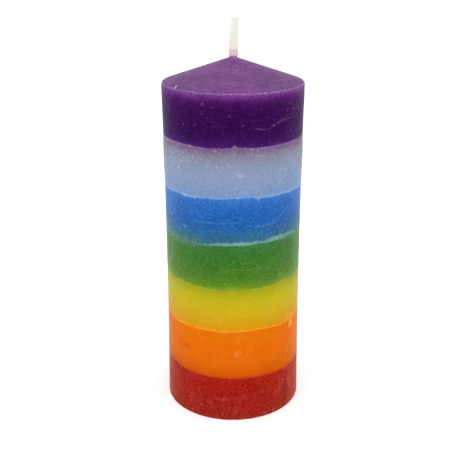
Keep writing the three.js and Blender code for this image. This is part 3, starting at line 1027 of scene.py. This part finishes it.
def sliver_piece():
    """A curled sliver of scraped wax that stands on the rim: flat ellipses carried up a bent path, whose
    size falls from the middle to both ends as a half circle does."""
    way = np.linspace(0.03, 0.97, 14)[:, None]
    turn = np.linspace(0, 2 * np.pi, 12, endpoint=False)
    size = SLIVER_WIDTH * np.sqrt(1 - (2 * way - 1) ** 2) + 0.03
    at, out, _ = STRAY_CRUMB
    foot = round_axis(out, cone_height(out) - SLIVER_ROOT, math.radians(at))
    x = foot[0] + SLIVER_LEAN * way**1.5 + size * np.cos(turn)
    y = foot[1] + 0.3 * np.sin(np.pi * way) + 0.5 * size * np.sin(turn)
    z = foot[2] + SLIVER_HEIGHT * way + 0 * turn
    piece = grid_piece("rim_sliver", np.stack((x, y, z), -1), (foot, foot + (SLIVER_LEAN, 0, SLIVER_HEIGHT)))
    settle(piece, None, sliver_material())


RED_SPECKS = [
    (-28.2, 10.9, 0.3), (-27.9, 6.1, 0.34), (28.8, 1.6, 0.45), (37.1, 1.6, 0.45), (-37.1, 2.1, 0.3),
    (48.5, 14.4, 0.36),
]
RED_CLOUDS = [
    (-14.0, 11.0, 1.6, 0.9, 0.5), (-7.5, 10.2, 2.2, 1.1, 0.8), (-1.0, 11.2, 1.8, 0.8, 0.6),
    (5.5, 10.6, 1.3, 1.6, 0.7), (11.5, 11.4, 2.0, 0.7, 0.6), (18.0, 11.0, 1.2, 1.3, 0.5),
    (25.8, 12.6, 1.6, 0.8, 0.8), (33.7, 12.9, 1.5, 0.9, 0.9), (39.0, 10.5, 1.2, 2.2, 0.8),
    (44.5, 12.0, 1.0, 3.0, 0.9), (58.0, 11.0, 1.8, 5.5, 1.2), (-20.0, 8.0, 1.2, 2.0, 0.5),
    (-2.5, 6.0, 1.0, 1.8, 0.5), (3.5, 5.2, 0.9, 1.6, 0.5), (-30.0, 13.0, 2.0, 1.0, 0.4),
    (-38.0, 9.0, 1.6, 2.6, 0.5), (100.0, 12.0, 2.5, 1.2, 0.8), (130.0, 8.0, 1.5, 2.5, 0.7),
    (-110.0, 10.0, 2.0, 2.0, 0.8), (-150.0, 12.5, 3.0, 1.0, 0.7),
]
RED_STREAK = [(52.3, 18.2), (51.4, 14.5), (51.8, 12.0), (50.7, 8.6), (50.5, 5.6), (49.5, 2.6)]
RED_UPRIGHTS = [
    (0.3, 0.5, [(8.4, 9.5), (8.4, 3.2)]),
    (0.3, 0.5, [(-0.7, 8.5), (-0.9, 3.0)]),
    (0.3, 0.5, [(-13.0, 8.5), (-11.5, 2.0)]),
]


def red_piece():
    """The pour that the candle stands on: the sink over the top-up, its step, the flat foot ring with low
    scuffs, a worn round edge and the wall. The worn edge is a quarter round whose radius drops a little in
    drawn chips."""
    high = EDGES["orange_layer"]
    foot_radius = rings(np.linspace(TOP_UP_RADIUS, BASE_RADIUS - FOOT_ROUND, 14))
    inner = (foot_radius - TOP_UP_RADIUS) / (BASE_RADIUS - FOOT_ROUND - TOP_UP_RADIUS)
    scuffs = np.clip(swell(foot_radius * 6, 88, 0.06), 0, 0.08) * np.sin(np.pi * inner)
    angle = np.linspace(0, np.pi / 2, 9)[1:, None]
    chips = np.clip(waver(81, 0.14, 20, 160) - 0.06, 0, 0.4)
    edge_radius = BASE_RADIUS - FOOT_ROUND + (FOOT_ROUND - 0.02) * np.sin(angle) - chips * np.sin(angle)
    edge_rise = FOOT_ROUND * (1 - np.cos(angle)) + 0.5 * chips * (1 - np.sin(angle))
    rise = wall_rings(FOOT_ROUND, high)[1:]
    streak = stroke(rise, 0.55, RED_STREAK) * (0.7 + 0.3 * np.sin(1.9 * rise + 1.0) * np.sin(0.7 * rise))
    flecks = specks(rise, RED_SPECKS)
    made = wall_marks(rise, 0.0, high, 100, 0.35, 0.0, 60)
    made["pale"] = np.maximum(0.6 * made["pale"], 0.7 * flecks)
    made["tinge"] = 0.3 * patches(rise, RED_CLOUDS)
    made["dark"] = np.maximum(0.75 * streak, strokes(rise, RED_UPRIGHTS))
    made["frost_and_painted_sheen"] += 0.12 * np.exp(-rise / 1.2)
    made["rubbed_and_painted_sheen"] *= 0.5
    made["relief"] += groove(rise) - chips * np.exp(-(rise - FOOT_ROUND) / 0.25) + 0.08 * (flecks - streak)
    radius = wall_radius(rise) + made.pop("relief")
    under = (SINK, (foot_radius, scuffs), (edge_radius, edge_rise))
    high_face = face_between(radius[-1], rise[-1], high.mean(), FACE_SHARES[::-1])
    inward = BASE_RADIUS - np.concatenate([face[0] for face in under])
    made = spread(made, len(inward), len(FACE_SHARES))
    made["pale"][: len(inward)] = 0.5 * scatter(inward, 83, 160, 0.0, 5.0)
    piece = ring_piece("red_pour", (*under, (radius, rise), high_face), made)
    settle(piece, "red_base_layer", WAX["red_wax"])


def top_up_piece():
    """The small pour in the base: its lower face has shrink rings, as a slow sine of the radius, a funnel
    round the wick as a bell, and it creeps up at its rim; the upper face is the sink that it fills."""
    radius = rings(np.linspace(BORE_RADIUS, TOP_UP_RADIUS, 90))
    shrunk = 0.05 * np.sin(radius * 1.7 + 0.35 * np.sin(3 * TURN)) + swell(radius * 2, 91, 0.03)
    funnel = 0.45 * bell((radius - BORE_RADIUS) / 3.2)
    creep = 0.25 * bell((TOP_UP_RADIUS - radius) / 0.7)
    pits = scatter(radius * 6, 92, 60, 12.0, 150.0)
    rise = TOP_UP_RECESS + shrunk + funnel + creep + 0.12 * pits
    sink = [numbers[::-1] for numbers in SINK]
    marks = dict(share=0.4, frost_and_painted_sheen=0.3, pale=0.0, dark=np.concatenate((0.4 * pits, 0 * sink[0])))
    piece = ring_piece("base_top_up_pour", ((radius, rise), sink), marks)
    settle(piece, "base_top_up", WAX["top_up_wax"])


def wick_piece():
    """The primed wick: a sleeve of wax round the strands, open at its cut foot, with a round tip. Its
    radius falls to the tip, is larger over the lower half of the stub with a bulge to one side at the foot,
    and carries the plait's pattern as a low wave whose crests bend back at the middle of each flat side.
    The stub leans with the square of its share of the way up."""
    turn = np.linspace(0, 2 * np.pi, WICK_COLUMNS, endpoint=False)
    tip_radius = WICK_RADIUS - WICK_TAPER
    tip_start = WICK_TOP - tip_radius
    bore = np.linspace(CONE_TOP, WICK_FOOT, 20)[1:]
    inside = np.concatenate((np.linspace(STRANDS_TOP, CONE_TOP, 12), bore))
    stub = np.arange(CONE_TOP - 0.8, tip_start, WICK_STEP)
    outside = np.concatenate((np.linspace(WICK_FOOT, CONE_TOP - 1, 40), stub))
    bend = np.linspace(0, np.pi / 2, 9)[:-1]
    inside_radius = np.full(len(inside), WICK_RADIUS - WICK_SKIN)
    outside_radius = WICK_RADIUS - WICK_TAPER * np.clip((outside - CONE_TOP) / (tip_start - CONE_TOP), 0, 1)
    radius = rings(np.concatenate((inside_radius, outside_radius, tip_radius * np.cos(bend))), turn)
    rise = rings(np.concatenate((inside, outside, tip_start + tip_radius * np.sin(bend))), turn)
    on_skin = (np.arange(len(rise)) >= len(inside))[:, None]
    shows = smooth(rise, CONE_TOP + 0.1, CONE_TOP + 0.9) * on_skin
    level = np.where(shows > 0, (rise - tip_start) / tip_radius, 0)
    fade = np.sqrt(1 - np.clip(level, 0, 1) ** 2)
    plait = np.cos(2 * np.pi * rise / PLAIT_STITCH + 2.4 * np.abs(np.sin(turn)))
    share = (rise - CONE_TOP) / (WICK_TOP - CONE_TOP)
    thicker = WICK_SWELL + (WICK_SWELL_AT_TIP - WICK_SWELL) * smooth(share, 0.35, 0.85)
    bulge = WICK_BULGE * shows * (1 - smooth(share, 0.15, 0.5))
    radius += shows * fade * (PLAIT_RELIEF * plait + swell(rise * 4, 61, 0.018, turn) + thicker) + bulge
    lean = WICK_LEAN * np.clip(share, 0, None) ** 2
    points = round_axis(radius, rise, turn)
    points[..., 0] += lean + bulge
    piece = grid_piece("primed_wick", points, ((lean[0, 0], 0, STRANDS_TOP), (WICK_LEAN, 0, WICK_TOP)))
    stain = CONE_TOP + WICK_STAIN - rise
    root = np.minimum(COLLAR_TOP + 0.25 - rise, rise - (CONE_TOP - 2))
    tip = rise - (WICK_TOP - WICK_SHADED_TIP)
    for key, values, at_tip in (("stain", stain, -10), ("root", root, -10), ("tip", tip, WICK_SHADED_TIP)):
        set_mark(piece, key, np.append(values, (0, at_tip)))
    settle(piece, "wick_wax_coat", wick_wax_material())


WAX = {name: wax_material(name, **numbers) for name, numbers in WAXES.items()}
top_up_piece()
red_piece()
pour_piece("orange", "yellow_layer", orange_marks)
pour_piece("yellow", "green_layer", yellow_marks)
pour_piece("green", "blue_layer", green_marks)
pour_piece("blue", "pale_blue_layer", blue_marks)
pour_piece("pale_blue", "violet_tip_layer", pale_blue_marks)
violet_piece()
sliver_piece()
wick_piece()
cotton = cotton_material()
for strand in ("wick_strand_1", "wick_strand_2", "wick_strand_3"):
    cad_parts[strand].material_slots[0].material = cotton


# Studio, in metres

FLOOR_RADIUS = 4.0
FLOOR_HOLE = 0.02
FLOOR_COLUMNS = 96
FLOOR_DROP = 0.02  # in mm: a hair's breadth under the foot, so that no two faces lie in one place
FLOOR_GREY = (0.86, 0.86, 0.86, 1.0)
FLOOR_LIFT = 0.3  # white added where the camera or a mirror sees the floor
WHITE = (1.0, 1.0, 1.0, 1.0)
WORLD_LIGHT = 0.9
LAMP_PLACE = (0.0, -0.25, 1.2)
LAMP_AIM = (0.0, 0.0, 0.08)
LAMP_SIZE = 0.9
LAMP_POWER = 4.0
PICTURE_WIDTH = 452
CAMERA_PLACE = (0.0, -0.3407, 0.2032)
CAMERA_TILT = math.radians(70.14)
CAMERA_LENS = 65.34
CAMERA_SENSOR = 36.0
CAMERA_NEAR = 0.01
CAMERA_SHIFT = -7.0 / PICTURE_WIDTH


def seen_directly(look):
    """1 for rays from the camera, off a gloss or through glass, and 0 for the rays that light a surface."""
    ray = look.add("LightPath").outputs
    seen = look.math("MAXIMUM", ray["Is Camera Ray"], ray["Is Glossy Ray"])
    return look.math("MAXIMUM", seen, ray["Is Transmission Ray"])


def studio_floor():
    """A flat disc: rings at shrinking radii, closed at its middle by one point."""
    turn = np.linspace(0, 2 * np.pi, FLOOR_COLUMNS, endpoint=False)
    radius = rings(np.geomspace(FLOOR_RADIUS, FLOOR_HOLE, 24) / MM, turn)
    points = round_axis(radius, 0 * radius - FLOOR_DROP, turn)
    piece = grid_piece("studio_floor", points, ((0, 0, -FLOOR_DROP),))
    material = bpy.data.materials.new("floor_white")
    material.use_nodes = True
    material.node_tree.nodes.clear()
    look = Shading(material.node_tree)
    paper = look.add("BsdfDiffuse", {"Color": FLOOR_GREY}).outputs[0]
    lift = look.times(seen_directly(look), FLOOR_LIFT)
    glow = look.add("Emission", {"Color": WHITE, "Strength": lift}).outputs[0]
    look.add("OutputMaterial", {0: look.add("AddShader", {0: paper, 1: glow}).outputs[0]})
    piece.data.materials.append(material)


def studio_lamp():
    """A square lamp overhead that looks at the middle of the candle."""
    lamp = bpy.data.lights.new("overhead_softbox", "AREA")
    lamp.shape = "SQUARE"
    lamp.size = LAMP_SIZE
    lamp.energy = LAMP_POWER
    holder = bpy.data.objects.new("overhead_softbox", lamp)
    bpy.context.scene.collection.objects.link(holder)
    holder.location = LAMP_PLACE
    aim = Vector(LAMP_AIM) - Vector(LAMP_PLACE)
    holder.rotation_euler = aim.to_track_quat("-Z", "Y").to_euler()


def studio_world():
    """Even light from all round, which the camera and mirrors see as plain white."""
    world = bpy.data.worlds.new("studio_world")
    bpy.context.scene.world = world
    world.use_nodes = True
    look = Shading(world.node_tree)
    strength = look.plus(look.times(seen_directly(look), 1.0 - WORLD_LIGHT), WORLD_LIGHT)
    look.fill(world.node_tree.nodes["Background"], {"Strength": strength, "Color": WHITE})


def studio_camera():
    """The camera at the photograph's place: in front, a little over the tip, and looking down."""
    lens = bpy.data.cameras.new("studio_camera")
    lens.lens = CAMERA_LENS
    lens.sensor_width = CAMERA_SENSOR
    lens.clip_start = CAMERA_NEAR
    lens.shift_x = CAMERA_SHIFT
    camera = bpy.data.objects.new("studio_camera", lens)
    bpy.context.scene.collection.objects.link(camera)
    camera.location = CAMERA_PLACE
    camera.rotation_euler = (CAMERA_TILT, 0.0, 0.0)
    bpy.context.scene.camera = camera


studio_floor()
studio_lamp()
studio_world()
studio_camera()
bpy.context.scene.view_settings.view_transform = "Standard"
